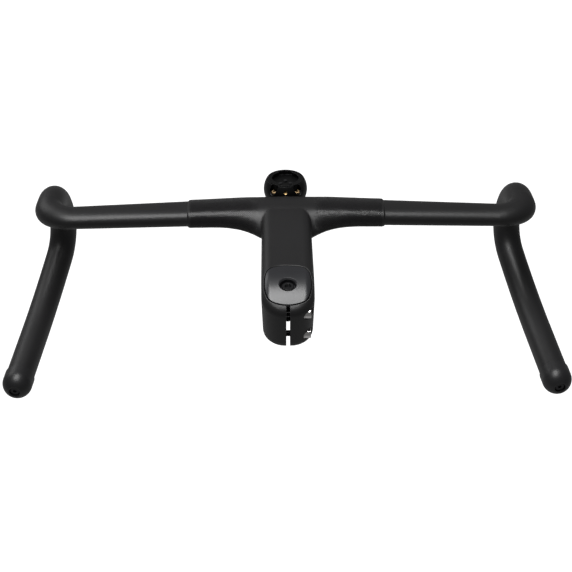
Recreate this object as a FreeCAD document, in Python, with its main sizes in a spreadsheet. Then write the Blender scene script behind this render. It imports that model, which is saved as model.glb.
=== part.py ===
import FreeCAD, Part

import math
import os

import Sketcher

# An integrated handlebar and stem: one hollow carbon moulding with its clamp, cap,
# bolts, end plugs and computer mount.
# Frame: +Z runs up the steerer axis, +Y forward, +X to the rider's right.
# The origin is on the steerer axis in the clamp's bottom face. Millimetres and degrees.

V = FreeCAD.Vector

SIZES = [
    # Steerer clamp and stem
    ("steerer_radius", 14.3, "bore of the clamp, for a 28.6 mm steerer"),
    ("ledge_height", 42.5, "floor of the cap recess above the clamp's bottom"),
    ("stem_half_width", 20.4, "half the width of stem and clamp at the bottom"),
    ("stem_draft", 1.9, "outward lean of their sides"),
    ("rear_reach", 25.3, "steerer axis to the clamp's rear face"),
    ("rear_corner_radius", 18.0, "upright corners of the clamp"),
    ("crown_rise", 7.8, "highest point of the clamp above that floor"),
    ("crown_middle", 6.0, "that point ahead of the steerer axis"),
    ("crown_radius", 60.0, "rounding of the clamp's top, seen from the side"),
    ("stem_slope", 12.0, "fall of the stem's top towards the bar"),
    ("under_radius", 600.0, "rounding of the stem's underside"),
    ("under_start", 20.0, "where that rounding starts"),
    ("top_edge_share", 0.47, "rounding of its upper edges, as a share of its end's height"),
    ("bottom_edge_share", 0.47, "rounding of its lower edges, as a share of that height"),
    ("stem_wall", 3.2, "wall of the hollow stem"),
    ("slot_width", 3.1, "pinch slot"),
    # Cap recess and cap
    ("recess_half_width", 19.2, "cap recess, across"),
    ("recess_front", 25.0, "cap recess ahead of the axis"),
    ("recess_rear", 18.7, "cap recess behind the axis"),
    ("recess_power", 2.8, "squareness of the recess's outline"),
    ("recess_edge_radius", 0.7, "rounded edge round the recess"),
    ("cap_gap", 0.5, "gap round the cap"),
    ("seat_gap", 0.05, "gap between stacked faces"),
    ("cap_drop", 0.3, "the cap's top below the stem's top"),
    ("cap_well_radius", 6.7, "well for the cap bolt"),
    ("cap_well_bevel", 0.9, "bevel round the well"),
    ("cap_floor", 2.2, "cap left under the bolt's head"),
    ("cap_bolt_radius", 3.0, "cap bolt, shank"),
    ("cap_bolt_head_radius", 5.2, "cap bolt, head"),
    ("cap_bolt_head_height", 3.0, "cap bolt, head"),
    ("cap_bolt_key", 2.5, "cap bolt, half the key size"),
    # Pinch bolts
    ("pinch_back", 18.0, "pinch bolts behind the steerer axis"),
    ("pinch_low", 12.0, "height of the lower pinch bolt"),
    ("pinch_high_drop", 8.0, "upper pinch bolt below the floor of the cap recess"),
    ("pinch_radius", 2.5, "pinch bolt, shank"),
    ("pinch_head_radius", 4.2, "pinch bolt, head"),
    ("pinch_head_height", 5.0, "pinch bolt, head"),
    ("pinch_key", 2.0, "pinch bolt, half the key size"),
    ("pinch_end", 9.5, "end of the bolt, left of the slot's middle"),
    ("pocket_floor", 12.6, "head pocket's floor, right of the slot's middle"),
    ("pocket_gap", 0.6, "clearance round the bolt's head in its pocket"),
    ("washer_height", 1.0, "washer under the head"),
    ("washer_radius", 4.5, "washer under the head"),
    ("insert_radius", 3.3, "threaded insert in the left lug"),
    ("insert_length", 7.5, "threaded insert in the left lug"),
    ("thread_gap", 0.1, "clearance of a bolt in its thread"),
    ("hole_gap", 0.25, "clearance of a bolt in a plain hole"),
    ("bond_gap", 0.03, "clearance of a bonded insert"),
    # Tops of the bar
    ("bar_forward", 127.0, "middle of the bar ahead of the steerer axis"),
    ("bar_height", 15.9, "middle of the bar above the clamp's bottom"),
    ("bar_pitch", 18.26, "level of the bar, tipped forward against the steerer"),
    ("centre_half", 38.0, "half of the straight part of the tops"),
    ("back_sweep", 2.22, "backward sweep of the tops"),
    ("down_slope", 0.2, "fall of the tops towards the hooks"),
    ("centre_chord", 40.8, "depth of the bar at its middle"),
    ("centre_thick", 20.2, "thickness of the bar at its middle"),
    ("grip_half", 84.0, "end of the raised, patterned zone"),
    ("shoulder", 1.1, "height of the shoulder at that end"),
    ("shoulder_run", 1.2, "length of the shoulder's slope"),
    ("grip_chord", 36.8, "depth of the bar inside the shoulder"),
    ("grip_thick", 18.6, "thickness of the bar inside the shoulder"),
    ("grip_power", 2.5, "flatness of the bar there"),
    ("tops_end", 184.1, "end of the straight tops"),
    ("tops_chord", 29.4, "depth of the bar there"),
    ("tops_thick", 16.8, "thickness of the bar there"),
    ("tops_power", 2.1, "flatness of the bar there"),
    ("web_start", 73.0, "where the web to the stem begins"),
    ("web_reach", 13.0, "how far the web reaches back at the stem"),
    ("web_fall", 20.0, "slope of that reach, down towards the rear"),
    # Hooks and drops
    ("tube_radius", 12.0, "round part of the bar"),
    ("bend_radius", 22.3, "bend from the tops into the hook"),
    ("toe_angle", -2.66, "hook turned in"),
    ("reach_run", 10.6, "straight after the bend"),
    ("hook_radius", 47.0, "first bend of the hook"),
    ("hook_turn", 71.4, "first bend of the hook"),
    ("hook_splay", -4.0, "first bend of the hook"),
    ("drop_radius", 32.1, "second bend of the hook"),
    ("drop_turn", 141.3, "second bend of the hook"),
    ("drop_splay", 12.8, "second bend of the hook"),
    ("tail_radius", 202.2, "gentle bend of the drop"),
    ("tail_rise", 4.9, "rise of the drop towards its end, square to the steerer"),
    ("flare", 7.8, "outward flare of the drop"),
    ("tail_run", 57.9, "last straight, to the end of the tube"),
    ("wall", 2.2, "wall of the moulding"),
    # End plugs
    ("plug_radius", 12.9, "dome of the end plug"),
    ("plug_collar", 9.0, "from the tube's end to the middle of the dome"),
    ("plug_face_radius", 5.8, "flat tip of the dome"),
    ("plug_well", 1.4, "depth of the bolt's well in the tip"),
    ("plug_stub", 7.0, "stub of the plug in the bar"),
    ("stub_gap", 0.15, "clearance of stub and sleeve in the bar"),
    ("sleeve_length", 20.0, "expanding sleeve"),
    ("sleeve_bore", 4.2, "bore of the sleeve"),
    ("nut_length", 9.0, "wedge nut"),
    ("nut_nose", 5.5, "small end of the wedge nut"),
    ("plug_bolt_radius", 2.5, "plug bolt, shank"),
    ("plug_bolt_head", 4.4, "plug bolt, head"),
    ("plug_bolt_head_height", 2.2, "plug bolt, head"),
    ("plug_bolt_key", 1.5, "plug bolt, half the key size"),
    # Computer mount
    ("mount_forward", 39.8, "socket ahead of the bar's middle, along the bar's level"),
    ("mount_rise", 15.4, "socket's top above the bar's middle"),
    ("mount_tilt", 4.6, "socket tipped back against the bar's level"),
    ("bowl_radius", 19.2, "rounded body under the socket"),
    ("bowl_drop", 10.0, "middle of that body below the socket's top"),
    ("bowl_floor", 14.0, "flat bottom of the body below its middle"),
    ("socket_radius", 16.0, "socket disc"),
    ("socket_height", 5.6, "socket disc"),
    ("socket_stand", 0.4, "the disc's top above the body's rim"),
    ("socket_bore", 14.0, "round recess in the disc, under the lips"),
    ("socket_depth", 3.6, "round recess in the disc"),
    ("lip_inner", 12.0, "inner edge of the two retaining lips"),
    ("lip_height", 1.4, "thickness of the lips"),
    ("lip_opening", 11.8, "opening between the lips, for the computer's tabs"),
    ("socket_screw_front", 0.8, "front screw in the recess, ahead of its middle"),
    ("socket_screw_rear", 4.6, "two rear screws in the recess, behind its middle"),
    ("socket_screw_side", 4.4, "two rear screws in the recess, off its middle line"),
    ("socket_screw_head", 1.6, "three screws in the recess, head"),
    ("socket_screw_head_height", 0.9, "three screws in the recess, head"),
    ("socket_screw_radius", 1.0, "three screws in the recess, shank"),
    ("socket_screw_length", 7.0, "three screws in the recess"),
    ("arm_half_width", 15.0, "saddle of the mount under the bar"),
    ("arm_thick", 4.6, "saddle of the mount under the bar"),
    ("arm_back", 9.0, "saddle's end behind the bar's middle"),
    ("arm_gap", 0.1, "clearance between mount and bar"),
    ("arm_bolt_spacing", 18.0, "two bolts up into the bar"),
    ("arm_bolt_radius", 2.0, "two bolts up into the bar, shank"),
    ("arm_bolt_head", 3.5, "two bolts up into the bar, head"),
    ("arm_bolt_head_height", 2.2, "two bolts up into the bar, head"),
    ("arm_bolt_key", 1.25, "two bolts up into the bar, half the key size"),
    ("arm_bolt_sink", 0.2, "their heads above the saddle's underside"),
    ("arm_bolt_length", 10.0, "two bolts up into the bar, under the head"),
    ("arm_insert_radius", 3.2, "their threaded inserts in the bar"),
    ("arm_insert_length", 7.0, "their threaded inserts in the bar"),
    ("arm_insert_sink", 1.6, "lower end of the inserts above the bar's underside"),
    ("rear_screw_spacing", 20.4, "two brass screws in the mount's rear"),
    ("rear_screw_back", 15.2, "their place behind the body's middle"),
    ("rear_screw_up", 6.6, "their place above the body's middle"),
    ("rear_screw_lean", 30.0, "their lean back from the bar's upright"),
    ("rear_screw_head", 2.5, "brass screw, head"),
    ("rear_screw_head_height", 1.8, "brass screw, head"),
    ("rear_screw_radius", 1.5, "brass screw, shank"),
    ("rear_screw_length", 9.0, "brass screw, under the head"),
    ("rear_screw_key", 1.0, "brass screw, half the key size"),
    ("rear_well_gap", 1.2, "clearance round the brass screw's head"),
    ("rear_well_depth", 5.0, "top of the brass screw's head below the body"),
    ("pin_radius", 1.4, "brass insert between the brass screws"),
    ("pin_length", 6.0, "brass insert between the brass screws"),
    ("pin_back", 18.2, "its place behind the body's middle"),
    ("pin_rise", 2.6, "its place above the body's middle"),
]


class Length:
    """A size that knows its value and its expression in the sheet."""

    def __init__(self, value, text):
        self.value = value
        self.text = text

    def __add__(self, other):
        other = as_length(other)
        return Length(self.value + other.value, "(%s + %s)" % (self.text, other.text))

    def __sub__(self, other):
        other = as_length(other)
        return Length(self.value - other.value, "(%s - %s)" % (self.text, other.text))

    def __mul__(self, number):
        return Length(self.value * number, "(%s * %s)" % (self.text, number))

    def __truediv__(self, number):
        return Length(self.value / number, "(%s / %s)" % (self.text, number))

    def __float__(self):
        return float(self.value)


def as_length(value):
    if isinstance(value, Length):
        return value
    return Length(value, str(value))


doc = FreeCAD.newDocument("handlebar")
sheet = doc.addObject("Spreadsheet::Sheet", "Sizes")
for row, (alias, value, note) in enumerate(SIZES, start=1):
    sheet.set("A%d" % row, str(value))
    sheet.set("B%d" % row, note)
    sheet.setAlias("A%d" % row, alias)
doc.recompute()


def size(alias):
    """A size as a plain number."""
    return float(sheet.get(alias))


def bound(alias):
    """A size together with its expression."""
    return Length(size(alias), "Sizes." + alias)


def bind(obj, prop, length):
    """Tie a property of an object to the sheet."""
    obj.setExpression(prop, as_length(length).text)


def place(obj, point, axis=V(0, 0, 1)):
    """Put an object's local origin at a point, with its local Z along an axis."""
    obj.Placement = FreeCAD.Placement(point, FreeCAD.Rotation(V(0, 0, 1), axis))
    return obj


def feature(name, shape):
    """A document object that holds a shape made here."""
    part = doc.addObject("Part::Feature", name)
    part.Label = name
    part.Shape = shape
    return part


# Parametric pieces, each made about its own local Z

def cylinder(name, radius, height, base=0):
    """An upright cylinder that starts at a height above its local origin."""
    part = doc.addObject("Part::Cylinder", name)
    bind(part, "Radius", radius)
    bind(part, "Height", height)
    bind(part, "Placement.Base.z", base)
    return part


def joined(kind, name, parts):
    """A boolean of several objects: MultiFuse or MultiCommon."""
    part = doc.addObject("Part::" + kind, name)
    part.Shapes = parts
    return part


def cut(name, base, tool):
    part = doc.addObject("Part::Cut", name)
    part.Base = base
    part.Tool = tool
    return part


def turned_body(name, profile):
    """A body revolved about its local Z from (radius, height) corners tied to the sheet."""
    body = doc.addObject("PartDesign::Body", name)
    sketch = body.newObject("Sketcher::SketchObject", name + "_profile")
    plane = [f for f in body.Origin.OriginFeatures if f.Role == "XZ_Plane"][0]
    sketch.AttachmentSupport = [(plane, "")]
    sketch.MapMode = "FlatFace"
    corners = [(as_length(r), as_length(h)) for r, h in profile]
    count = len(corners)
    for i in range(count):
        r0, h0 = corners[i]
        r1, h1 = corners[(i + 1) % count]
        sketch.addGeometry(Part.LineSegment(V(r0.value, h0.value, 0), V(r1.value, h1.value, 0)))
    for i in range(count):
        sketch.addConstraint(Sketcher.Constraint("Coincident", i, 2, (i + 1) % count, 1))
    for i, (r, h) in enumerate(corners):
        for kind, other_axis, length in (("DistanceX", -2, r), ("DistanceY", -1, h)):
            if length.value == 0:
                sketch.addConstraint(Sketcher.Constraint("PointOnObject", i, 1, other_axis))
            else:
                index = sketch.addConstraint(
                    Sketcher.Constraint(kind, -1, 1, i, 1, length.value))
                sketch.setExpression("Constraints[%d]" % index, length.text)
    turn = body.newObject("PartDesign::Revolution", name + "_turn")
    turn.Profile = sketch
    turn.ReferenceAxis = (sketch, ["V_Axis"])
    turn.Angle = 360
    return body


def ring(name, inner, outer, height):
    """A plain ring, such as a washer or an insert."""
    return turned_body(name, [(inner, 0), (outer, 0), (outer, height), (inner, height)])


THREAD_BEVEL = 0.6
KEY_SHARE = 0.6
OVERRUN = 2.0


def bolt(name, shank, length, head, head_height, key):
    """A socket bolt: the shank's end is at its local origin, the head on top."""
    top = as_length(length) + head_height
    bevel = as_length(shank) - THREAD_BEVEL
    blank = turned_body(name + "_blank", [
        (0, 0), (bevel, 0), (shank, THREAD_BEVEL), (shank, length), (head, length),
        (head, top - THREAD_BEVEL), (as_length(head) - THREAD_BEVEL, top), (0, top)])
    socket = doc.addObject("Part::Prism", name + "_socket")
    socket.Polygon = 6
    bind(socket, "Circumradius", as_length(key) / math.cos(math.radians(30)))
    depth = as_length(head_height) * KEY_SHARE
    bind(socket, "Height", depth + OVERRUN)
    bind(socket, "Placement.Base.z", top - depth)
    return cut(name, blank, socket)


# Sections of the bar

SECTION_POINTS = 12


def oval(middle, across, along, half_chord, half_thick, power):
    """Points of a flattened oval: half_chord runs along 'along', half_thick along 'across'."""
    points = []
    for i in range(SECTION_POINTS):
        angle = 2 * math.pi * i / SECTION_POINTS
        c = math.cos(angle)
        s = math.sin(angle)
        u = math.copysign(abs(c) ** (2 / power), c) * half_chord
        w = math.copysign(abs(s) ** (2 / power), s) * half_thick
        points.append(middle + along * u + across * w)
    return points


def closed_curve(points):
    """A smooth closed wire through points, with the same spacing in every section."""
    steps = [float(i) for i in range(len(points) + 1)]
    curve = Part.BSplineCurve()
    curve.interpolate(Points=points, Parameters=steps, PeriodicFlag=True)
    return Part.Wire([curve.toShape()])


def section(*values):
    return closed_curve(oval(*values))


def circle(middle, axis, radius):
    """A round section."""
    return Part.Wire([Part.Circle(middle, axis, radius).toShape()])


def level_axes(pitch):
    """Forward and up directions at a pitch below the steerer's square."""
    p = math.radians(pitch)
    return V(0, math.cos(p), -math.sin(p)), V(0, math.sin(p), math.cos(p))


def tops_middle(side):
    """Middle line of the right-hand tops at a distance from the centre plane."""
    past = max(0.0, side - size("centre_half"))
    y = size("bar_forward") - past * math.tan(math.radians(size("back_sweep")))
    z = size("bar_height") - past * math.tan(math.radians(size("down_slope")))
    return V(side, y, z)


def blend(first, last, share):
    return first + (last - first) * share


WEB_POWER = 3
WEB_LOBE_ANGLE = math.radians(212)


def web_share(side):
    """How far the web towards the stem has grown: 0 at its start, 1 at the stem's side."""
    width = size("web_start") - size("stem_half_width")
    share = min(max((size("web_start") - side) / width, 0.0), 1.0)
    return share ** WEB_POWER


def web_lobe(angle):
    """Share of the web's reach at an angle round the section: full at its lower rear."""
    return max(math.cos(angle - WEB_LOBE_ANGLE), 0.0) ** 2


def centre_section(x, inset):
    """Section of the patterned zone: towards the stem its lower rear grows into a web."""
    side = abs(x)
    share = side / size("grip_half")
    chord = blend(size("centre_chord"), size("grip_chord"), share)
    thick = blend(size("centre_thick"), size("grip_thick"), share)
    middle = tops_middle(side)
    middle.x = x
    along, across = level_axes(size("bar_pitch"))
    points = oval(middle, across, along, chord / 2 - inset, thick / 2 - inset,
                  size("grip_power"))
    fall = math.radians(size("web_fall"))
    reach = V(0, -math.cos(fall), -math.sin(fall)) * (size("web_reach") * web_share(side))
    for i in range(SECTION_POINTS):
        points[i] = points[i] + reach * web_lobe(2 * math.pi * i / SECTION_POINTS)
    return closed_curve(points)


TOPS_START = size("grip_half") + size("shoulder_run")


def tops_section(side, inset):
    """Section of the smooth tops outside the shoulder."""
    share = (side - TOPS_START) / (size("tops_end") - TOPS_START)
    chord = blend(size("grip_chord") - 2 * size("shoulder"), size("tops_chord"), share)
    thick = blend(size("grip_thick") - 2 * size("shoulder"), size("tops_thick"), share)
    along, across = level_axes(size("bar_pitch"))
    return section(tops_middle(side), across, along, chord / 2 - inset, thick / 2 - inset,
                   blend(size("grip_power"), size("tops_power"), share))


# Route of the right-hand hook and drop

def heading(turn, splay):
    """Direction of the bar after a turn in its side plane, splayed outward."""
    t = math.radians(turn + size("bar_pitch"))
    return V(math.tan(math.radians(splay)), math.cos(t), -math.sin(t)).normalize()


TOPS = V(1, -math.tan(math.radians(size("back_sweep"))),
         -math.tan(math.radians(size("down_slope")))).normalize()
REACH = heading(0, size("toe_angle"))
HOOK = heading(size("hook_turn"), size("hook_splay"))
DROP = heading(size("drop_turn"), size("drop_splay"))
TAIL = V(math.tan(math.radians(size("flare"))), -math.cos(math.radians(size("tail_rise"))),
         math.sin(math.radians(size("tail_rise")))).normalize()


def arc_point(start, first, last, radius, angle):
    """A point on the arc that leaves start along first and turns towards last."""
    axis = first.cross(last).normalize()
    inward = axis.cross(first).normalize()
    centre = start + inward * radius
    return centre - inward * (radius * math.cos(angle)) + first * (radius * math.sin(angle))


def hook_route():
    """The hook's middle line after the bend: its edges, and the tube's end."""
    bend_turn = TOPS.getAngle(REACH)
    start = arc_point(tops_middle(size("tops_end")), TOPS, REACH, size("bend_radius"), bend_turn)
    end = start + REACH * size("reach_run")
    edges = [Part.LineSegment(start, end).toShape()]
    for first, last, radius in ((REACH, HOOK, "hook_radius"), (HOOK, DROP, "drop_radius"),
                                (DROP, TAIL, "tail_radius")):
        turn = first.getAngle(last)
        middle = arc_point(end, first, last, size(radius), turn / 2)
        finish = arc_point(end, first, last, size(radius), turn)
        edges.append(Part.Arc(end, middle, finish).toShape())
        end = finish
    tube_end = end + TAIL * size("tail_run")
    edges.append(Part.LineSegment(end, tube_end).toShape())
    return edges, tube_end


BEND_STATIONS = 4
ROUND_POWER = 2.0


def bend_sections(inset):
    """Sections round the bend, from the flattened tops to the round hook."""
    start = tops_middle(size("tops_end"))
    turn = TOPS.getAngle(REACH)
    axis = TOPS.cross(REACH).normalize()
    level, upright = level_axes(size("bar_pitch"))
    wires = [tops_section(size("tops_end"), inset)]
    for i in range(1, BEND_STATIONS + 1):
        share = i / BEND_STATIONS
        spin = FreeCAD.Rotation(axis, math.degrees(turn * share))
        tangent = spin.multVec(TOPS)
        along = spin.multVec(level)
        along = (along - tangent * along.dot(tangent)).normalize()
        across = along.cross(tangent).normalize()
        if across.dot(upright) < 0:
            across = across * -1
        half_chord = blend(size("tops_chord") / 2, size("tube_radius"), share)
        half_thick = blend(size("tops_thick") / 2, size("tube_radius"), share)
        point = arc_point(start, TOPS, REACH, size("bend_radius"), turn * share)
        if i == BEND_STATIONS:
            wires.append(circle(point, REACH, size("tube_radius") - inset))
        else:
            wires.append(section(point, across, along, half_chord - inset, half_thick - inset,
                                 blend(size("tops_power"), ROUND_POWER, share)))
    return wires


CENTRE_STATIONS = 9


def centre_loft(inset):
    """The patterned zone, through evenly spaced sections."""
    step = size("grip_half") / CENTRE_STATIONS
    places = [step * i for i in range(-CENTRE_STATIONS, CENTRE_STATIONS + 1)]
    return Part.makeLoft([centre_section(x, inset) for x in places], True, False)


def right_side(inset):
    """Smooth tops, bend, hook and drop on the right: the outer form, or its hollow."""
    slope = [centre_section(size("grip_half"), inset), tops_section(TOPS_START, inset)]
    shoulder = Part.makeLoft(slope, True, True)
    ends = [tops_section(TOPS_START, inset), tops_section(size("tops_end"), inset)]
    tops = Part.makeLoft(ends, True, True)
    wires = bend_sections(inset)
    bend = Part.makeLoft(wires, True, False)
    hook = Part.Wire(hook_route()[0]).makePipeShell([wires[-1]], True, False)
    return shoulder.fuse([tops, bend, hook])


# Side outline of the stem

CROWN_TOP = size("ledge_height") + size("crown_rise")


def crown(y):
    """Height of the clamp's rounded top."""
    radius = size("crown_radius")
    return CROWN_TOP - radius + math.sqrt(radius ** 2 - (y - size("crown_middle")) ** 2)


def belly(y):
    """Height of the stem's underside."""
    past = max(0.0, y - size("under_start"))
    return size("under_radius") - math.sqrt(size("under_radius") ** 2 - past ** 2)


CROWN_END = size("crown_middle") + size("crown_radius") * math.sin(math.radians(size("stem_slope")))


def stem_top(y):
    """Height of the stem's top: the crown, then a straight fall to the bar."""
    if y < CROWN_END:
        return crown(y)
    return crown(CROWN_END) - (y - CROWN_END) * math.tan(math.radians(size("stem_slope")))


STEM_END_GAP = 2.0
END_GAP = 1.0
NEAR = 0.05


def drafted_prism(rear, front):
    """A prism along Y whose sides lean outward from the stem's bottom width."""
    lean = math.tan(math.radians(size("stem_draft")))
    low = -OVERRUN
    high = CROWN_TOP + OVERRUN
    corners = []
    for z in (low, high):
        half = size("stem_half_width") + z * lean
        corners.append((V(-half, rear, z), V(half, rear, z)))
    ring_points = [corners[0][0], corners[0][1], corners[1][1], corners[1][0], corners[0][0]]
    return Part.Face(Part.makePolygon(ring_points)).extrude(V(0, front - rear, 0))


def stem_block():
    """Stem and clamp: the side outline, padded wide, cut to width and rounded."""
    rear = -size("rear_reach")
    front = size("bar_forward") - STEM_END_GAP
    half = 2 * size("stem_half_width")
    start = size("under_start")
    belly_middle = (start + front) / 2
    crown_middle = (rear + CROWN_END) / 2

    def at(y, z):
        return V(-half, y, z)

    edges = [
        Part.LineSegment(at(rear, 0), at(start, 0)).toShape(),
        Part.Arc(at(start, 0), at(belly_middle, belly(belly_middle)),
                 at(front, belly(front))).toShape(),
        Part.LineSegment(at(front, belly(front)), at(front, stem_top(front))).toShape(),
        Part.LineSegment(at(front, stem_top(front)), at(CROWN_END, crown(CROWN_END))).toShape(),
        Part.Arc(at(CROWN_END, crown(CROWN_END)), at(crown_middle, crown(crown_middle)),
                 at(rear, crown(rear))).toShape(),
        Part.LineSegment(at(rear, crown(rear)), at(rear, 0)).toShape(),
    ]
    block = Part.Face(Part.Wire(edges)).extrude(V(2 * half, 0, 0))
    block = block.common(drafted_prism(rear - OVERRUN, front + OVERRUN))
    upright = [e for e in block.Edges
               if e.BoundBox.YMax < rear + NEAR and e.BoundBox.ZLength > OVERRUN]
    block = block.makeFillet(size("rear_corner_radius"), upright)

    def rim(height):
        """Edges round the top or the bottom, without the front end's and the upright ones."""
        found = []
        for e in block.Edges:
            p = e.valueAt((e.FirstParameter + e.LastParameter) / 2)
            across = e.BoundBox.XLength > 2 * size("rear_corner_radius")
            if p.y < front - NEAR and not across and abs(p.z - height(p.y)) < NEAR:
                found.append(e)
        return found

    end_height = stem_top(front) - belly(front)
    block = block.makeFillet(size("top_edge_share") * end_height, rim(stem_top))
    return block.makeFillet(size("bottom_edge_share") * end_height, rim(belly))


def stem_hollow():
    """The space inside the stem, from ahead of the clamp to the bar."""
    wall = size("stem_wall")
    first = size("recess_front") + wall
    last = size("bar_forward")
    half = size("stem_half_width") - wall
    corners = [(first, belly(first) + wall), (last, belly(last) + wall),
               (last, stem_top(last) - wall), (first, stem_top(first) - wall)]
    points = [V(-half, y, z) for y, z in corners]
    outline = Part.makePolygon(points + points[:1])
    return Part.Face(outline).extrude(V(2 * half, 0, 0))


def recess_column(gap, bottom):
    """An upright column with the recess's outline, less a gap."""
    middle_y = (size("recess_front") - size("recess_rear")) / 2
    half_length = (size("recess_front") + size("recess_rear")) / 2 - gap
    half_width = size("recess_half_width") - gap
    outline = section(V(0, middle_y, bottom), V(1, 0, 0), V(0, 1, 0), half_length, half_width,
                      size("recess_power"))
    return Part.Face(outline).extrude(V(0, 0, CROWN_TOP))


def recessed(block):
    """The block with the cap's recess, its upper edge rounded."""
    block = block.cut(recess_column(0, size("ledge_height")))
    floor = size("ledge_height") + NEAR
    rim = []
    for e in block.Edges:
        b = e.BoundBox
        inside = abs(b.XMin) < size("recess_half_width") + NEAR
        inside = inside and abs(b.XMax) < size("recess_half_width") + NEAR
        ahead = b.YMin > -size("recess_rear") - NEAR and b.YMax < size("recess_front") + NEAR
        if inside and ahead and b.ZMin > floor:
            rim.append(e)
    return block.makeFillet(size("recess_edge_radius"), rim)


def x_hole(radius, first, last, y, z):
    """A cylinder along X between two places."""
    return Part.makeCylinder(radius, last - first, V(first, y, z), V(1, 0, 0))


PINCH_HEIGHTS = {
    "lower": size("pinch_low"),
    "upper": size("ledge_height") - size("pinch_high_drop"),
}
SLOT_OVERLAP = 1.5


def pinch_cuts():
    """Slot, bolt holes, head pockets and insert seats of the clamp."""
    rear = size("rear_reach") + OVERRUN
    depth = rear - size("steerer_radius") + SLOT_OVERLAP
    slot = Part.makeBox(size("slot_width"), depth, CROWN_TOP + 2 * OVERRUN,
                        V(-size("slot_width") / 2, -rear, -OVERRUN))
    cuts = [slot]
    y = -size("pinch_back")
    for z in PINCH_HEIGHTS.values():
        end = -size("pinch_end") - END_GAP
        cuts.append(x_hole(size("pinch_radius") + size("hole_gap"), end, size("pocket_floor"), y, z))
        cuts.append(x_hole(size("insert_radius") + size("bond_gap"),
                           -size("slot_width") / 2 - size("insert_length"), 0, y, z))
        cuts.append(x_hole(size("pinch_head_radius") + size("pocket_gap"), size("pocket_floor"),
                           size("stem_half_width") + OVERRUN, y, z))
    return cuts


LEVEL, UPRIGHT = level_axes(size("bar_pitch"))
BAR_MIDDLE = V(0, size("bar_forward"), size("bar_height"))


def in_bar_frame(x, forward, rise):
    """A point given from the bar's middle, along the bar's own level."""
    return BAR_MIDDLE + V(x, 0, 0) + LEVEL * forward + UPRIGHT * rise


WEB_DROP = (size("web_reach") * web_lobe(math.radians(270))
            * math.sin(math.radians(size("web_fall") + size("bar_pitch"))))
UNDERSIDE = -size("centre_thick") / 2 - WEB_DROP
ARM_BOLT_FOOT = UNDERSIDE - size("arm_gap") - size("arm_thick")
ARM_INSERT_FOOT = UNDERSIDE + size("arm_insert_sink")


def arm_bolt_places():
    half = size("arm_bolt_spacing") / 2
    return [-half, half]


def arm_insert_seats():
    """Blind seats in the bar's underside for the mount's threaded inserts."""
    foot = ARM_BOLT_FOOT
    length = ARM_INSERT_FOOT + size("arm_insert_length") + size("seat_gap") - foot
    return [Part.makeCylinder(size("arm_insert_radius") + size("bond_gap"), length,
                              in_bar_frame(x, 0, foot), UPRIGHT)
            for x in arm_bolt_places()]


# The moulding

def moulding(block):
    """Bar and stem in one piece, hollow, with the clamp's bore, slot and recess."""
    right = right_side(0).cut(right_side(size("wall")))
    left = right.mirror(V(0, 0, 0), V(1, 0, 0))
    middle = centre_loft(0).fuse(recessed(block))
    middle = middle.cut(centre_loft(size("wall")).fuse(stem_hollow()))
    bore = Part.makeCylinder(size("steerer_radius"), size("ledge_height") + 2 * OVERRUN,
                             V(0, 0, -OVERRUN))
    middle = middle.cut([bore] + pinch_cuts() + arm_insert_seats())
    return middle.fuse([right, left])


BLOCK = stem_block()
feature("handlebar_stem", moulding(BLOCK))


# Cap over the steerer

def cap():
    """The cap: it fills the recess and follows the stem's top."""
    bottom = size("ledge_height") + size("seat_gap")
    low_block = BLOCK.copy()
    low_block.translate(V(0, 0, -size("cap_drop")))
    shape = low_block.common(recess_column(size("cap_gap"), bottom))
    top = stem_top(0) - size("cap_drop")
    well_floor = size("ledge_height") + size("cap_floor")
    radius = size("cap_well_radius")
    bevel = size("cap_well_bevel")
    well = Part.makeCylinder(radius, top, V(0, 0, well_floor))
    rim = Part.makeCone(radius, radius + 2 * bevel, 2 * bevel, V(0, 0, top - bevel))
    hole = Part.makeCylinder(size("cap_bolt_radius") + size("hole_gap"), top)
    return shape.cut([well, rim, hole])


feature("top_cap", cap())
place(bolt("top_cap_bolt", bound("cap_bolt_radius"), bound("cap_floor") + bound("seat_gap"),
           bound("cap_bolt_head_radius"), bound("cap_bolt_head_height"), bound("cap_bolt_key")),
      V(0, 0, size("ledge_height")))


# Pinch bolts with their washers and threaded inserts

for where, height in PINCH_HEIGHTS.items():
    y = -size("pinch_back")
    seat = bound("pocket_floor") + bound("seat_gap")
    place(ring("pinch_washer_" + where, bound("pinch_radius") + bound("hole_gap"),
               bound("washer_radius"), bound("washer_height")),
          V(seat.value, y, height), V(1, 0, 0))
    length = bound("pinch_end") + seat + bound("washer_height") + bound("seat_gap")
    place(bolt("pinch_bolt_" + where, bound("pinch_radius"), length, bound("pinch_head_radius"),
               bound("pinch_head_height"), bound("pinch_key")),
          V(-size("pinch_end"), y, height), V(1, 0, 0))
    place(ring("pinch_insert_" + where, bound("pinch_radius") + bound("thread_gap"),
               bound("insert_radius"), bound("insert_length")),
          V(-size("slot_width") / 2, y, height), V(-1, 0, 0))


# End plugs: dome, expanding sleeve, wedge nut and bolt

TIP_HEIGHT = size("plug_collar") + math.sqrt(size("plug_radius") ** 2
                                             - size("plug_face_radius") ** 2)


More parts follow.
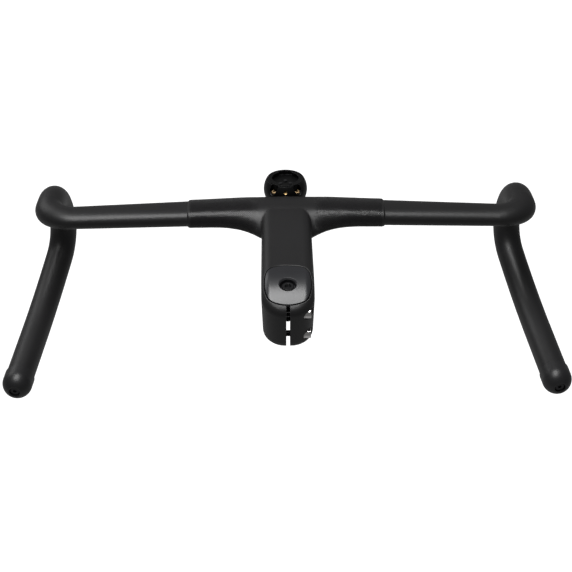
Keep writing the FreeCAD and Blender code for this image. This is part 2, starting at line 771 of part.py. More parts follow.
def end_plug(name):
    """A domed plug; its local origin is at the tube's end, with Z pointing out."""
    radius = bound("plug_radius")
    collar = cylinder(name + "_collar", radius, bound("plug_collar"), bound("seat_gap"))
    dome = doc.addObject("Part::Sphere", name + "_dome")
    bind(dome, "Radius", radius)
    bind(dome, "Placement.Base.z", bound("plug_collar"))
    dome.Angle1 = 0
    stub = cylinder(name + "_stub", bound("tube_radius") - bound("wall") - bound("stub_gap"),
                    bound("plug_stub") + bound("seat_gap"), bound("plug_stub") * -1)
    body = joined("MultiFuse", name + "_body", [collar, dome, stub])
    tip = cylinder(name + "_tip", radius, radius, TIP_HEIGHT)
    well = cylinder(name + "_well", bound("plug_bolt_head") + bound("hole_gap"), radius,
                    as_length(TIP_HEIGHT) - bound("plug_well") - bound("plug_bolt_head_height"))
    hole = cylinder(name + "_hole", bound("plug_bolt_radius") + bound("hole_gap"),
                    bound("plug_stub") + TIP_HEIGHT, bound("plug_stub") * -1)
    return cut(name, body, joined("MultiFuse", name + "_cuts", [tip, well, hole]))


def wedge_nut(name):
    """A tapered nut that the bolt pulls into the sleeve."""
    cone = doc.addObject("Part::Cone", name + "_cone")
    bind(cone, "Radius1", bound("tube_radius") - bound("wall") - bound("stub_gap") * 3)
    bind(cone, "Radius2", bound("nut_nose"))
    bind(cone, "Height", bound("nut_length"))
    hole = cylinder(name + "_hole", bound("plug_bolt_radius") + bound("thread_gap"),
                    bound("nut_length"))
    return cut(name, cone, hole)


def plug_set(side, mirror):
    """All pieces of one end plug on the drop of one side."""
    tube_end = hook_route()[1]
    end = V(tube_end.x * mirror, tube_end.y, tube_end.z)
    out = V(TAIL.x * mirror, TAIL.y, TAIL.z)
    place(end_plug("end_plug_" + side), end, out)
    sleeve_end = bound("plug_stub") + bound("seat_gap") + bound("sleeve_length")
    place(ring("plug_sleeve_" + side, bound("sleeve_bore"),
               bound("tube_radius") - bound("wall") - bound("stub_gap"), bound("sleeve_length")),
          end - out * sleeve_end.value, out)
    nut_end = sleeve_end + bound("seat_gap") + bound("nut_length")
    place(wedge_nut("plug_nut_" + side), end - out * nut_end.value, out)
    head_seat = as_length(TIP_HEIGHT) - bound("plug_well") - bound("plug_bolt_head_height")
    length = nut_end + head_seat + bound("seat_gap") + END_GAP
    foot = nut_end + END_GAP
    place(bolt("plug_bolt_" + side, bound("plug_bolt_radius"), length, bound("plug_bolt_head"),
               bound("plug_bolt_head_height"), bound("plug_bolt_key")),
          end - out * foot.value, out)


plug_set("right", 1)
plug_set("left", -1)


# Computer mount

SOCKET_LEVEL, SOCKET_UPRIGHT = level_axes(size("bar_pitch") - size("mount_tilt"))
SOCKET_TOP = in_bar_frame(0, size("mount_forward"), size("mount_rise"))
BOWL_RISE = size("mount_rise") - size("bowl_drop")
REAR_LEAN = math.radians(size("rear_screw_lean"))
REAR_AXIS = (UPRIGHT * math.cos(REAR_LEAN) - LEVEL * math.sin(REAR_LEAN)).normalize()


def in_socket_frame(x, forward, rise):
    """A point given from the middle of the socket's top, along the socket's own level."""
    return SOCKET_TOP + V(x, 0, 0) + SOCKET_LEVEL * forward + SOCKET_UPRIGHT * rise


def rear_screw_point(x, depth):
    """A point on a brass screw's axis, at a depth below the place of its well."""
    mouth = in_bar_frame(x, size("mount_forward") - size("rear_screw_back"),
                         BOWL_RISE + size("rear_screw_up"))
    return mouth - REAR_AXIS * depth


def pin_point(depth):
    """A point on the brass insert's axis, at a depth below the body's rear."""
    mouth = in_bar_frame(0, size("mount_forward") - size("pin_back"),
                         BOWL_RISE + size("pin_rise"))
    return mouth - REAR_AXIS * depth


def rear_screw_places():
    half = size("rear_screw_spacing") / 2
    return [-half, half]


def socket_screw_places():
    """Three places in the socket's recess, as (across, forward) from its middle."""
    rear = -size("socket_screw_rear")
    side = size("socket_screw_side")
    return [(0, size("socket_screw_front")), (-side, rear), (side, rear)]


def level_box(corner, upright, width, depth, height):
    """A box that leans with a level: its lowest rear left corner, that level's upright, sizes."""
    box = Part.makeBox(width, depth, height)
    box.Placement = FreeCAD.Placement(corner, FreeCAD.Rotation(V(0, 0, 1), upright))
    return box


def bowl():
    """The rounded body under the socket: a ball with a flat bottom and a seat for the disc."""
    radius = size("bowl_radius")
    reach = radius + OVERRUN
    ball = Part.makeSphere(radius, in_bar_frame(0, size("mount_forward"), BOWL_RISE))
    rim = -size("socket_stand")
    above = level_box(in_socket_frame(-reach, -reach, rim), SOCKET_UPRIGHT,
                      2 * reach, 2 * reach, reach)
    floor = BOWL_RISE - size("bowl_floor")
    below = level_box(in_bar_frame(-reach, size("mount_forward") - reach, floor - reach), UPRIGHT,
                      2 * reach, 2 * reach, reach)
    seat = Part.makeCylinder(size("socket_radius") + size("arm_gap"), reach,
                             in_socket_frame(0, 0, -size("socket_height")), SOCKET_UPRIGHT)
    return ball.cut([above, below, seat])


def mount_body():
    """The mount's body: the bowl with a saddle that wraps under the bar."""
    half = size("arm_half_width")
    outer = centre_loft(-size("arm_gap") - size("arm_thick"))
    length = size("arm_back") + size("mount_forward")
    low = level_box(in_bar_frame(-half, -size("arm_back"), -size("bowl_radius")), UPRIGHT,
                    2 * half, length, size("bowl_radius"))
    saddle = outer.common(low).cut(centre_loft(-size("arm_gap")))
    body = bowl().cut(centre_loft(-size("arm_gap"))).fuse(saddle)
    cuts = [BLOCK]
    cuts.append(Part.makeCylinder(size("socket_radius") + size("arm_gap"), size("bowl_radius"),
                                  in_socket_frame(0, 0, -size("socket_height")), SOCKET_UPRIGHT))
    top = -size("socket_height")
    for x, forward in socket_screw_places():
        cuts.append(Part.makeCylinder(size("socket_screw_radius") + size("bond_gap"),
                                      size("socket_screw_length") + OVERRUN,
                                      in_socket_frame(x, forward, top + OVERRUN),
                                      SOCKET_UPRIGHT * -1))
    head_depth = size("rear_well_depth") + size("rear_screw_head_height")
    for x in rear_screw_places():
        cuts.append(Part.makeCylinder(size("rear_screw_head") + size("rear_well_gap"),
                                      size("bowl_radius"), rear_screw_point(x, head_depth),
                                      REAR_AXIS))
        cuts.append(Part.makeCylinder(size("rear_screw_radius") + size("bond_gap"),
                                      size("rear_screw_length") + OVERRUN + END_GAP,
                                      rear_screw_point(x, head_depth - OVERRUN), REAR_AXIS * -1))
    cuts.append(Part.makeCylinder(size("pin_radius") + size("bond_gap"), size("bowl_radius"),
                                  pin_point(size("pin_length")), REAR_AXIS))
    head_room = size("arm_bolt_head_height") + size("arm_bolt_sink")
    for x in arm_bolt_places():
        foot = in_bar_frame(x, 0, ARM_BOLT_FOOT - OVERRUN)
        cuts.append(Part.makeCylinder(size("arm_bolt_radius") + size("hole_gap"),
                                      size("centre_thick"), foot, UPRIGHT))
        cuts.append(Part.makeCylinder(size("arm_bolt_head") + size("hole_gap"),
                                      head_room + OVERRUN, foot, UPRIGHT))
    for tool in cuts:
        body = body.cut(tool)
    return body


feature("computer_mount", mount_body())


def socket_disc(name):
    """The socket for the computer: a round recess under two lips."""
    disc = cylinder(name + "_disc", bound("socket_radius"), bound("socket_height"),
                    bound("seat_gap"))
    floor = bound("socket_height") - bound("socket_depth")
    lower = cylinder(name + "_recess", bound("socket_bore"),
                     bound("socket_depth") - bound("lip_height"), floor)
    upper = cylinder(name + "_mouth", bound("lip_inner"), bound("socket_depth") + OVERRUN, floor)
    gate = doc.addObject("Part::Box", name + "_gate")
    bind(gate, "Length", bound("lip_opening"))
    bind(gate, "Width", bound("socket_bore") * 2)
    bind(gate, "Height", bound("socket_depth") + OVERRUN)
    bind(gate, "Placement.Base.x", bound("lip_opening") * -0.5)
    bind(gate, "Placement.Base.y", bound("socket_bore") * -1)
    bind(gate, "Placement.Base.z", floor)
    round_gate = joined("MultiCommon", name + "_tabs", [
        gate, cylinder(name + "_reach", bound("socket_bore"), bound("socket_height") + OVERRUN)])
    holes = []
    for i, (x, forward) in enumerate(socket_screw_places()):
        hole = cylinder("%s_hole_%d" % (name, i), bound("socket_screw_radius") + bound("hole_gap"),
                        bound("socket_height"))
        hole.Placement.Base = V(x, forward, 0)
        holes.append(hole)
    tools = joined("MultiFuse", name + "_cuts", [lower, upper, round_gate] + holes)
    return cut(name, disc, tools)


disc = socket_disc("computer_socket")
place(disc, in_socket_frame(0, 0, -size("socket_height")), SOCKET_UPRIGHT)


def screw_group(name, screws):
    """Like screws in one object, each a solid of its own."""
    doc.recompute()
    return feature(name, Part.makeCompound([s.Shape for s in screws]))


screws = []
for i, (x, forward) in enumerate(socket_screw_places()):
    top = bound("socket_screw_length") + bound("socket_screw_head_height")
    screw = turned_body("socket_screw_%d" % i, [
        (0, 0), (bound("socket_screw_radius"), 0),
        (bound("socket_screw_radius"), bound("socket_screw_length")),
        (bound("socket_screw_head"), bound("socket_screw_length")),
        (bound("socket_screw_head"), top), (0, top)])
    foot = size("seat_gap") - size("socket_depth") - size("socket_screw_length")
    screws.append(place(screw, in_socket_frame(x, forward, foot), SOCKET_UPRIGHT))
screw_group("socket_screws", screws)

screws = []
for i, x in enumerate(rear_screw_places()):
    screw = bolt("rear_screw_%d" % i, bound("rear_screw_radius"), bound("rear_screw_length"),
                 bound("rear_screw_head"), bound("rear_screw_head_height"),
                 bound("rear_screw_key"))
    depth = size("rear_well_depth") + size("rear_screw_head_height") + size("rear_screw_length")
    screws.append(place(screw, rear_screw_point(x, depth - size("seat_gap")), REAR_AXIS))
screw_group("rear_screws", screws)

place(turned_body("rear_insert", [(0, 0), (bound("pin_radius"), 0),
                                  (bound("pin_radius"), bound("pin_length")),
                                  (0, bound("pin_length"))]),
      pin_point(size("pin_length")), REAR_AXIS)

screws = []
inserts = []
for i, x in enumerate(arm_bolt_places()):
    screw = bolt("arm_bolt_%d" % i, bound("arm_bolt_radius"), bound("arm_bolt_length"),
                 bound("arm_bolt_head"), bound("arm_bolt_head_height"), bound("arm_bolt_key"))
    seat = ARM_BOLT_FOOT + size("arm_bolt_sink") + size("arm_bolt_head_height")
    tip = seat + size("arm_bolt_length") - size("seat_gap")
    screws.append(place(screw, in_bar_frame(x, 0, tip), UPRIGHT * -1))
    insert = ring("arm_insert_%d" % i, bound("arm_bolt_radius") + bound("thread_gap"),
                  bound("arm_insert_radius"), bound("arm_insert_length"))
    inserts.append(place(insert, in_bar_frame(x, 0, ARM_INSERT_FOOT), UPRIGHT))
screw_group("mount_bolts", screws)
screw_group("mount_inserts", inserts)

doc.recompute()

NODES = [
    "handlebar_stem", "top_cap", "top_cap_bolt",
    "pinch_bolt_lower", "pinch_bolt_upper", "pinch_washer_lower", "pinch_washer_upper",
    "pinch_insert_lower", "pinch_insert_upper",
    "end_plug_right", "end_plug_left", "plug_sleeve_right", "plug_sleeve_left",
    "plug_nut_right", "plug_nut_left", "plug_bolt_right", "plug_bolt_left",
    "computer_mount", "computer_socket", "socket_screws", "rear_screws", "rear_insert",
    "mount_bolts", "mount_inserts",
]

for obj in doc.Objects:
    if "Invalid" in obj.State or "Error" in obj.State:
        raise RuntimeError("failed object: %s %s" % (obj.Name, obj.State))
os.makedirs("parts", exist_ok=True)
for node in NODES:
    part = doc.getObject(node)
    part.Label = node
    shape = part.Shape
    if shape.isNull() or not shape.isValid():
        raise RuntimeError("bad shape: " + node)
    shape.exportStep("parts/%s.step" % node)
    print("%-20s %d solids %10.1f mm3" % (node, len(shape.Solids), shape.Volume))
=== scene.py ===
import math

import bpy
from mathutils import Matrix, Vector
from mathutils.bvhtree import BVHTree


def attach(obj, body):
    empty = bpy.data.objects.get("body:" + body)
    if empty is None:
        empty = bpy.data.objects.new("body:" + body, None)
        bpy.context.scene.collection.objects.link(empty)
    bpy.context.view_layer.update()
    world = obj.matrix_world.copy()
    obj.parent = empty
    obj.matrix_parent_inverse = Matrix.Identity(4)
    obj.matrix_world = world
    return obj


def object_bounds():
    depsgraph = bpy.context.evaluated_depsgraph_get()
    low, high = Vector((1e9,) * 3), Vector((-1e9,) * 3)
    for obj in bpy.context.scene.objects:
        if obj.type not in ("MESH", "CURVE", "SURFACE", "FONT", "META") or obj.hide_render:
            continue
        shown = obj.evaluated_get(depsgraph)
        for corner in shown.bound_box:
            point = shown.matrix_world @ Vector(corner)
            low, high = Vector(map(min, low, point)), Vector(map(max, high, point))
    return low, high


# The integrated handlebar and stem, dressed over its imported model. Metres.

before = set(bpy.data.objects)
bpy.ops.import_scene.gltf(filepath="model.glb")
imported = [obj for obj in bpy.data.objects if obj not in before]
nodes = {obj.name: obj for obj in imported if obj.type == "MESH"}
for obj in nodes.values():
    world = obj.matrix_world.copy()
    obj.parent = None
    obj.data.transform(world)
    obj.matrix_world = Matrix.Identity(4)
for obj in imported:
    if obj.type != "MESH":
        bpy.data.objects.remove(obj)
cad_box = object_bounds()
scene = bpy.context.scene
scene.view_settings.view_transform = "Standard"

# Camera, fitted to the photograph

IMAGE_SIDE = 572
FOCAL_PIXELS = 1921.98
SENSOR = 36.0
TARGET = Vector((-0.0009, 0.05013, 0.0))
CAMERA_ELEVATION = math.radians(43.77)
CAMERA_YAW = math.radians(0.76)
CAMERA_ROLL = math.radians(0.09)
CAMERA_DISTANCE = 1.62581

look = Vector((
    math.sin(CAMERA_YAW) * math.cos(CAMERA_ELEVATION),
    math.cos(CAMERA_YAW) * math.cos(CAMERA_ELEVATION),
    -math.sin(CAMERA_ELEVATION)))
level = look.cross(Vector((0, 0, 1))).normalized()
upward = level.cross(look)
right = level * math.cos(CAMERA_ROLL) + upward * math.sin(CAMERA_ROLL)
up = upward * math.cos(CAMERA_ROLL) - level * math.sin(CAMERA_ROLL)
camera_data = bpy.data.cameras.new("camera")
camera_data.sensor_width = SENSOR
camera_data.lens = FOCAL_PIXELS / IMAGE_SIDE * SENSOR
camera_data.clip_start = 0.05
camera = bpy.data.objects.new("camera", camera_data)
scene.collection.objects.link(camera)
turn = Matrix((right, up, -look)).transposed().to_4x4()
camera.matrix_world = Matrix.Translation(TARGET - look * CAMERA_DISTANCE) @ turn
scene.camera = camera

# The bar's own frame

BAR_PITCH = math.radians(18.26)
BAR_MIDDLE = Vector((0, 0.127, 0.0159))
BAR_UP = Vector((0, math.sin(BAR_PITCH), math.cos(BAR_PITCH)))
BAR_FORWARD = Vector((0, math.cos(BAR_PITCH), -math.sin(BAR_PITCH)))


# Lamps, world and floor

def softbox(name, place, target, width, depth, watts):
    """A rectangular lamp at a place, turned to a target."""
    lamp = bpy.data.lights.new(name, "AREA")
    lamp.shape = "RECTANGLE"
    lamp.size = width
    lamp.size_y = depth
    lamp.energy = watts
    holder = bpy.data.objects.new(name, lamp)
    holder.location = place
    holder.rotation_euler = (target - place).to_track_quat("-Z", "Y").to_euler()
    scene.collection.objects.link(holder)


OVERHEAD_LEAN = math.radians(88)
OVERHEAD_DISTANCE = 2.0
OVERHEAD_SIDE = -0.3
OVERHEAD_SIZE = (1.7, 1.0)
OVERHEAD_WATTS = 44
LEFT_WALL_PLACE = Vector((-1.26, 1.5, 0.8))
LEFT_WALL_SIZE = (1.2, 0.9)
LEFT_WALL_WATTS = 5
WORLD_LIGHT = 0.15

overhead_place = BAR_MIDDLE + Vector((
    OVERHEAD_SIDE,
    math.cos(OVERHEAD_LEAN) * OVERHEAD_DISTANCE,
    math.sin(OVERHEAD_LEAN) * OVERHEAD_DISTANCE))
softbox("overhead", overhead_place, BAR_MIDDLE, *OVERHEAD_SIZE, OVERHEAD_WATTS)
softbox("left_wall", LEFT_WALL_PLACE, BAR_MIDDLE, *LEFT_WALL_SIZE, LEFT_WALL_WATTS)


def node_tree(owner):
    """An empty node tree on a world or a material."""
    owner.use_nodes = True
    owner.node_tree.nodes.clear()
    return owner.node_tree


def wire(tree, output, target):
    """A link from an output to an input."""
    tree.links.new(output, target)


world = bpy.data.worlds.new("studio")
scene.world = world
tree = node_tree(world)
path = tree.nodes.new("ShaderNodeLightPath")
seen = tree.nodes.new("ShaderNodeBackground")
seen.inputs["Color"].default_value = (1, 1, 1, 1)
seen.inputs["Strength"].default_value = 1
lit = tree.nodes.new("ShaderNodeBackground")
lit.inputs["Color"].default_value = (1, 1, 1, 1)
lit.inputs["Strength"].default_value = WORLD_LIGHT
choose = tree.nodes.new("ShaderNodeMixShader")
out = tree.nodes.new("ShaderNodeOutputWorld")
wire(tree, path.outputs["Is Camera Ray"], choose.inputs["Fac"])
wire(tree, lit.outputs["Background"], choose.inputs[1])
wire(tree, seen.outputs["Background"], choose.inputs[2])
wire(tree, choose.outputs["Shader"], out.inputs["Surface"])

FLOOR_DROP = 0.45
FLOOR_HALF = 6.0
FLOOR_GLOW_SEEN = 0.95
FLOOR_GLOW_LIT = 0.05
FLOOR_GREY = (0.35, 0.35, 0.35, 1)
floor_mesh = bpy.data.meshes.new("floor")
floor_z = cad_box[0][2] - FLOOR_DROP
floor_mesh.from_pydata(
    [(x * FLOOR_HALF, y * FLOOR_HALF, floor_z) for x, y in ((-1, -1), (1, -1), (1, 1), (-1, 1))],
    [], [(0, 1, 2, 3)])
floor = bpy.data.objects.new("floor", floor_mesh)
scene.collection.objects.link(floor)

floor_paint = bpy.data.materials.new("floor_paint")
tree = node_tree(floor_paint)
path = tree.nodes.new("ShaderNodeLightPath")
diffuse = tree.nodes.new("ShaderNodeBsdfDiffuse")
diffuse.inputs["Color"].default_value = FLOOR_GREY
glow = tree.nodes.new("ShaderNodeEmission")
glow.inputs["Color"].default_value = (1, 1, 1, 1)
strength = tree.nodes.new("ShaderNodeMapRange")
strength.inputs["To Min"].default_value = FLOOR_GLOW_LIT
strength.inputs["To Max"].default_value = FLOOR_GLOW_SEEN
both = tree.nodes.new("ShaderNodeAddShader")
out = tree.nodes.new("ShaderNodeOutputMaterial")
wire(tree, path.outputs["Is Camera Ray"], strength.inputs["Value"])
wire(tree, strength.outputs["Result"], glow.inputs["Strength"])
wire(tree, diffuse.outputs["BSDF"], both.inputs[0])
wire(tree, glow.outputs["Emission"], both.inputs[1])
wire(tree, both.outputs["Shader"], out.inputs["Surface"])
floor_mesh.materials.append(floor_paint)


# Materials

def ranged(tree, value, from_min, from_max, to_min, to_max):
    """A clamped linear change from one range to another."""
    step = tree.nodes.new("ShaderNodeMapRange")
    step.inputs["From Min"].default_value = from_min
    step.inputs["From Max"].default_value = from_max
    step.inputs["To Min"].default_value = to_min
    step.inputs["To Max"].default_value = to_max
    wire(tree, value, step.inputs["Value"])
    return step.outputs["Result"]


def calculated(tree, operation, first, second=None):
    """A Math node on one or two values."""
    step = tree.nodes.new("ShaderNodeMath")
    step.operation = operation
    wire(tree, first, step.inputs[0])
    if second is not None:
        wire(tree, second, step.inputs[1])
    return step.outputs["Value"]


def object_axis(tree, place, axis):
    """One of the surface's own coordinates."""
    split = tree.nodes.new("ShaderNodeSeparateXYZ")
    wire(tree, place.outputs["Object"], split.inputs["Vector"])
    return split.outputs[axis]


def tinted(tree, amount, below, color):
    """A colour that goes over to another one by an amount."""
    mix = tree.nodes.new("ShaderNodeMix")
    mix.data_type = "RGBA"
    wire(tree, amount, mix.inputs["Factor"])
    wire(tree, below, mix.inputs["A"])
    mix.inputs["B"].default_value = (*color, 1)
    return mix.outputs["Result"]


# Fade of the painted slot shade, as a multiple of its reach.
SLOT_SHADE_FADE = 1.1


def painted_slot_shade(tree, place, below, reach, color):
    """Painted shade: another colour within a distance of the middle plane, standing for the clamp
    slot's shadow on the pinch bolts' shanks.
    """
    away = calculated(tree, "ABSOLUTE", object_axis(tree, place, "X"))
    return tinted(tree, ranged(tree, away, reach, reach * SLOT_SHADE_FADE, 1, 0), below, color)


JOIN_START = 0.066
JOIN_END = 0.08
JOIN_HALF = 0.040
JOIN_FADE = 0.055


def join_softness(tree, place, edge_radius, join_radius):
    """A bevel radius that grows where the stem runs into the bar."""
    forward = ranged(tree, object_axis(tree, place, "Y"), JOIN_START, JOIN_END, 0, 1)
    away = calculated(tree, "ABSOLUTE", object_axis(tree, place, "X"))
    near = ranged(tree, away, JOIN_HALF, JOIN_FADE, 1, 0)
    amount = calculated(tree, "MULTIPLY", forward, near)
    return ranged(tree, amount, 0, 1, edge_radius, join_radius)


# Limits and height rise of the painted edge highlight.
EDGE_HIGHLIGHT_STARTS = 0.99
EDGE_HIGHLIGHT_FULL = 0.85
EDGE_HIGHLIGHT_RISE = 0.001


def painted_edge_highlight(tree, place, below, edge, color, lowest):
    """Painted highlight: a lighter colour where the bevelled normal leaves the surface's own, above
    a height.
    """
    own = tree.nodes.new("ShaderNodeNewGeometry")
    compare = tree.nodes.new("ShaderNodeVectorMath")
    compare.operation = "DOT_PRODUCT"
    wire(tree, edge.outputs["Normal"], compare.inputs[0])
    wire(tree, own.outputs["Normal"], compare.inputs[1])
    amount = ranged(tree, compare.outputs["Value"], EDGE_HIGHLIGHT_FULL, EDGE_HIGHLIGHT_STARTS, 1, 0)
    if lowest is not None:
        height = object_axis(tree, place, "Z")
        high = ranged(tree, height, lowest, lowest + EDGE_HIGHLIGHT_RISE, 0, 1)
        amount = calculated(tree, "MULTIPLY", amount, high)
    return tinted(tree, amount, below, color)


PATCH_SCALE = 18
PATCH_DETAIL = 4
PATCH_DARK_AT = 0.35
PATCH_LIGHT_AT = 0.65
GRAIN_DETAIL = 3
EDGE_SAMPLES = 8


def surface(name, color, roughness, metallic=0.0, specular=0.5, grain_scale=900,
            grain_depth=0.00002, shade=0.12, roughness_spread=0.08, edge_radius=0.0,
            edge_highlight_color=None, edge_highlight_lowest=None, join_radius=0.0, slot_shade_reach=0.0,
            slot_shade_color=None):
    """A Principled surface with fine grain, soft patches of tone and uneven gloss, with optional
    painted highlights along its edges and painted shade near its middle plane.
    """
    material = bpy.data.materials.new(name)
    tree = node_tree(material)
    nodes_of = tree.nodes
    body = nodes_of.new("ShaderNodeBsdfPrincipled")
    out = nodes_of.new("ShaderNodeOutputMaterial")
    wire(tree, body.outputs["BSDF"], out.inputs["Surface"])
    body.inputs["Metallic"].default_value = metallic
    body.inputs["Specular IOR Level"].default_value = specular
    place = nodes_of.new("ShaderNodeTexCoord")

    patches = nodes_of.new("ShaderNodeTexNoise")
    patches.inputs["Scale"].default_value = PATCH_SCALE
    patches.inputs["Detail"].default_value = PATCH_DETAIL
    wire(tree, place.outputs["Object"], patches.inputs["Vector"])
    tone = nodes_of.new("ShaderNodeValToRGB")
    dark = [c * (1 - shade) for c in color]
    light = [min(1, c * (1 + shade)) for c in color]
    tone.color_ramp.elements[0].position = PATCH_DARK_AT
    tone.color_ramp.elements[0].color = (*dark, 1)
    tone.color_ramp.elements[1].position = PATCH_LIGHT_AT
    tone.color_ramp.elements[1].color = (*light, 1)
    wire(tree, patches.outputs["Fac"], tone.inputs["Fac"])
    shown = tone.outputs["Color"]
    # Painted shade near the middle plane, where the clamp slot's shadow falls.
    if slot_shade_reach:
        shown = painted_slot_shade(tree, place, shown, slot_shade_reach, slot_shade_color)

    grain = nodes_of.new("ShaderNodeTexNoise")
    grain.inputs["Scale"].default_value = grain_scale
    grain.inputs["Detail"].default_value = GRAIN_DETAIL
    wire(tree, place.outputs["Object"], grain.inputs["Vector"])
    gloss = nodes_of.new("ShaderNodeMapRange")
    gloss.inputs["To Min"].default_value = roughness - roughness_spread
    gloss.inputs["To Max"].default_value = roughness + roughness_spread
    wire(tree, grain.outputs["Fac"], gloss.inputs["Value"])
    wire(tree, gloss.outputs["Result"], body.inputs["Roughness"])

    bump = nodes_of.new("ShaderNodeBump")
    bump.inputs["Distance"].default_value = grain_depth
    wire(tree, grain.outputs["Fac"], bump.inputs["Height"])
    wire(tree, bump.outputs["Normal"], body.inputs["Normal"])
    if edge_radius:
        edge = nodes_of.new("ShaderNodeBevel")
        edge.samples = EDGE_SAMPLES
        edge.inputs["Radius"].default_value = edge_radius
        if join_radius:
            wire(tree, join_softness(tree, place, edge_radius, join_radius), edge.inputs["Radius"])
        wire(tree, edge.outputs["Normal"], bump.inputs["Normal"])
        # Painted highlight: a light line along the edges.
        if edge_highlight_color:
            shown = painted_edge_highlight(tree, place, shown, edge, edge_highlight_color, edge_highlight_lowest)
    wire(tree, shown, body.inputs["Base Color"])
    return material


CAP_RIM_HEIGHT = 0.036
# Painted highlight: the carbon's edges above the cap rim's height are coloured lighter, as the
# light line round the cap recess.
carbon = surface("satin_carbon", (0.0088, 0.0086, 0.0092), 0.44, edge_radius=0.0005,
                 edge_highlight_color=(0.09, 0.09, 0.095), edge_highlight_lowest=CAP_RIM_HEIGHT, join_radius=0.003)
grip_gloss = surface("grip_gloss", (0.0095, 0.0093, 0.01), 0.3, grain_scale=1500)
plug_plastic = surface("plug_plastic", (0.012, 0.012, 0.013), 0.4, grain_scale=1400,
                       edge_radius=0.0003)
# Painted highlight: the mount's edges are coloured lighter, as rim light lines.
mount_plastic = surface("mount_plastic", (0.002, 0.002, 0.0022), 0.4, specular=0.22,
                        grain_scale=1800, grain_depth=0.00003, edge_radius=0.0004,
                        edge_highlight_color=(0.03, 0.03, 0.032))
cap_paint = surface("cap_paint", (0.016, 0.0165, 0.019), 0.33, specular=0.75, grain_scale=2200,
                    grain_depth=0.00001, roughness_spread=0.04, edge_radius=0.0003)
bright_steel = surface("bright_steel", (0.62, 0.61, 0.6), 0.22, metallic=1, grain_scale=2600,
                       grain_depth=0.000008, shade=0.06, roughness_spread=0.05,
                       edge_radius=0.0002)
black_steel = surface("black_steel", (0.03, 0.03, 0.032), 0.3, metallic=0.6, grain_scale=2600,
                      grain_depth=0.00001, edge_radius=0.0002)
# Black bolt, coloured darker still as painted shade for its place down in the cap's well.
cap_bolt_steel = surface("cap_bolt_steel", (0.008, 0.008, 0.009), 0.22, grain_scale=2600,
                         grain_depth=0.00001, edge_radius=0.0002)
# Painted shade: the pinch bolts' shanks turn near black within 5 mm of the middle plane, where they
# cross the clamp slot's shadow.
pinch_steel = surface("pinch_steel", (0.72, 0.71, 0.7), 0.16, metallic=1, grain_scale=2600,
                      grain_depth=0.000008, shade=0.06, roughness_spread=0.05,
                      edge_radius=0.0002, slot_shade_reach=0.005, slot_shade_color=(0.006, 0.006, 0.006))
brass = surface("brass_metal", (0.5, 0.34, 0.15), 0.38, metallic=1, grain_scale=2600,
                grain_depth=0.00001, shade=0.1, edge_radius=0.0002)
# Painted shade: a darker copy of the brass, for the rear screws down in their wells.
shaded_brass = surface("shaded_brass", (0.2, 0.14, 0.075), 0.3, metallic=1, grain_scale=2600,
                     grain_depth=0.00001, shade=0.2, edge_radius=0.0002)
rubber = surface("sleeve_rubber", (0.02, 0.02, 0.02), 0.6, grain_scale=1200)
light_metal = surface("light_metal", (0.6, 0.6, 0.62), 0.35, metallic=1, grain_scale=2000,
                      grain_depth=0.00001, shade=0.05)

FINISHES = {
    "handlebar_stem": carbon,
    "top_cap": cap_paint,
    "top_cap_bolt": cap_bolt_steel,
    "pinch_bolt_lower": pinch_steel,
    "pinch_bolt_upper": pinch_steel,
    "pinch_washer_lower": bright_steel,
    "pinch_washer_upper": bright_steel,
    "pinch_insert_lower": bright_steel,
    "pinch_insert_upper": bright_steel,
    "end_plug_right": plug_plastic,
    "end_plug_left": plug_plastic,
    "plug_sleeve_right": rubber,
    "plug_sleeve_left": rubber,
    "plug_nut_right": light_metal,
    "plug_nut_left": light_metal,
    "plug_bolt_right": black_steel,
    "plug_bolt_left": black_steel,
    "computer_mount": mount_plastic,
    "computer_socket": mount_plastic,
    "socket_screws": black_steel,
    "rear_screws": shaded_brass,
    "rear_insert": brass,
    "mount_bolts": black_steel,
    "mount_inserts": light_metal,
}
for name, finish in FINISHES.items():
    for holder in nodes[name].material_slots:
        holder.material = finish


# Added pieces

def add_piece(name, points, faces, material):
    """A mesh that belongs to the part's one body."""
    mesh = bpy.data.meshes.new(name)
    mesh.from_pydata(points, [], faces)
    mesh.materials.append(material)
    piece = bpy.data.objects.new(name, mesh)
    scene.collection.objects.link(piece)
    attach(piece, "root")


def surface_tree(name):
    """The node's surface, ready for rays in world coordinates."""
    holder = nodes[name]
    place = holder.matrix_world
    mesh = holder.data
    points = [place @ v.co for v in mesh.vertices]
    faces = [tuple(p.vertices) for p in mesh.polygons]
    return BVHTree.FromPolygons(points, faces)


# Raised diamonds of the grips

DIAMOND_PITCH = 0.00195
DIAMOND_HEIGHT = 0.00026
DIAMOND_SINK = 0.00004
DIAMOND_FOOT = 0.46
DIAMOND_TOP = 0.33
GRIP_INNER = 0.0235
GRIP_OUTER = 0.0832
GRIP_FADE = 0.008
FRONT_SHARE = 0.35
BACK_TURN = math.radians(20)
BACK_GAIN = 1.5
LEAST_FADE = 0.05
RAY_START = 0.045
RAY_STEPS = 120
LONGEST_STEP = RAY_START / 4
BACK_SWEEP = math.tan(math.radians(2.22))
SWEEP_START = 0.038


def grip_outline(tree, x):
    """Points and normals round the grip at one place along the bar."""
    past = max(0.0, abs(x) - SWEEP_START)
    middle = BAR_MIDDLE + Vector((x, -past * BACK_SWEEP, 0))
    outline = []
    for i in range(RAY_STEPS + 1):
        angle = 2 * math.pi * i / RAY_STEPS
        out = BAR_FORWARD * math.cos(angle) + BAR_UP * math.sin(angle)
        point, normal = tree.ray_cast(middle + out * RAY_START, -out)[:2]
        if point is None:
            continue
        outline.append((point, normal, angle))
    return outline


def diamond_fade(x, angle):
    """Height share of a diamond: low at the front, none at the stem."""
    inner = min(1.0, max(0.0, (abs(x) - GRIP_INNER) / GRIP_FADE))
    back = 0.5 - 0.5 * math.cos(angle - BACK_TURN)
    return inner * (FRONT_SHARE + (1 - FRONT_SHARE) * min(1.0, back * BACK_GAIN))


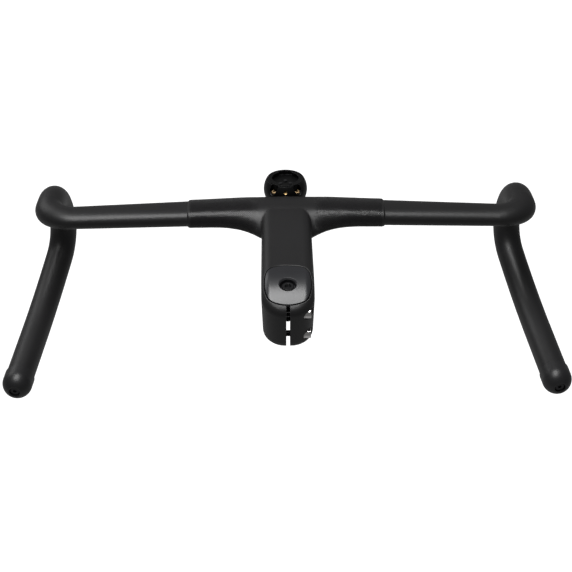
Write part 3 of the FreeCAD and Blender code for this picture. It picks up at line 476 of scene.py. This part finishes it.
def grip_diamonds(tree, sign):
    """Points and faces of one grip's flat-topped diamonds, in staggered columns."""
    points = []
    faces = []
    count = int((GRIP_OUTER - GRIP_INNER) / (DIAMOND_PITCH / 2))
    for column in range(count):
        x = sign * (GRIP_OUTER - DIAMOND_PITCH / 2 * (column + 1))
        outline = grip_outline(tree, x)
        travelled = 0.0
        wanted = DIAMOND_PITCH / 2 * (column % 2)
        for (p0, n0, angle), (p1, n1, _) in zip(outline, outline[1:]):
            step = (p1 - p0).length
            if step > LONGEST_STEP:
                continue
            while travelled + step > wanted:
                share = (wanted - travelled) / step
                wanted += DIAMOND_PITCH
                fade = diamond_fade(x, angle)
                if fade < LEAST_FADE:
                    continue
                point = p0.lerp(p1, share)
                normal = n0.lerp(n1, share).normalized()
                along = (p1 - p0).normalized()
                across = normal.cross(along).normalized()
                first = len(points)
                for reach, height in ((DIAMOND_FOOT, -DIAMOND_SINK),
                                      (DIAMOND_TOP, DIAMOND_HEIGHT * fade)):
                    level_point = point + normal * height
                    reach *= DIAMOND_PITCH
                    points.extend([level_point + across * reach, level_point + along * reach,
                                   level_point - across * reach, level_point - along * reach])
                faces.extend((first + k, first + (k + 1) % 4, first + 4 + (k + 1) % 4,
                              first + 4 + k) for k in range(4))
                faces.append((first + 4, first + 5, first + 6, first + 7))
            travelled += step
    return points, faces


bar_tree = surface_tree("handlebar_stem")
for side, sign in (("right", 1), ("left", -1)):
    points, faces = grip_diamonds(bar_tree, sign)
    add_piece("grip_diamonds_" + side, points, faces, grip_gloss)


# Threaded end of the cap bolt, below the cap's ledge

THREAD_SEGMENTS = 28
THREAD_RADIUS = 0.003
THREAD_DEPTH = 0.0006
THREAD_PITCH = 0.001
THREAD_PROFILE = ((0.0, THREAD_RADIUS - THREAD_DEPTH), (0.45, THREAD_RADIUS), (0.55, THREAD_RADIUS))
CORE_RADIUS = THREAD_RADIUS - THREAD_DEPTH * 1.05
CAP_LEDGE = 0.0425
CAP_BOLT_END = 0.0097
CAP_BOLT_GAP = 0.0015


def ring_point(radius, step, height):
    """A point round the steerer's axis, above the bolt's end."""
    angle = 2 * math.pi * step / THREAD_SEGMENTS
    return Vector((radius * math.cos(angle), radius * math.sin(angle), CAP_BOLT_END + height))


def threaded_rod(length):
    """Points and faces of a helical thread round a plain core."""
    points = []
    faces = []
    rows = int(length / THREAD_PITCH) * THREAD_SEGMENTS
    for i in range(rows + 1):
        height = THREAD_PITCH * i / THREAD_SEGMENTS
        points.extend(ring_point(r, i, height + share * THREAD_PITCH)
                      for share, r in THREAD_PROFILE)
    for i in range(rows):
        a = 3 * i
        b = 3 * (i + 1)
        faces.append((a, b, b + 1, a + 1))
        faces.append((a + 1, b + 1, b + 2, a + 2))
        above = i + THREAD_SEGMENTS
        if above < rows:
            faces.append((a + 2, b + 2, 3 * above + 3, 3 * above))
        elif above == rows:
            faces.append((a + 2, b + 2, 3 * above))
    foot = len(points)
    head = foot + THREAD_SEGMENTS
    for height in (0.0, length + THREAD_PITCH / 2):
        points.extend(ring_point(CORE_RADIUS, i, height) for i in range(THREAD_SEGMENTS))
    for i in range(THREAD_SEGMENTS):
        j = (i + 1) % THREAD_SEGMENTS
        faces.append((foot + i, foot + j, head + j, head + i))
    faces.append(tuple(foot + i for i in reversed(range(THREAD_SEGMENTS))))
    faces.append(tuple(head + i for i in range(THREAD_SEGMENTS)))
    return points, faces


add_piece("cap_bolt_thread", *threaded_rod(CAP_LEDGE - CAP_BOLT_END - CAP_BOLT_GAP), black_steel)
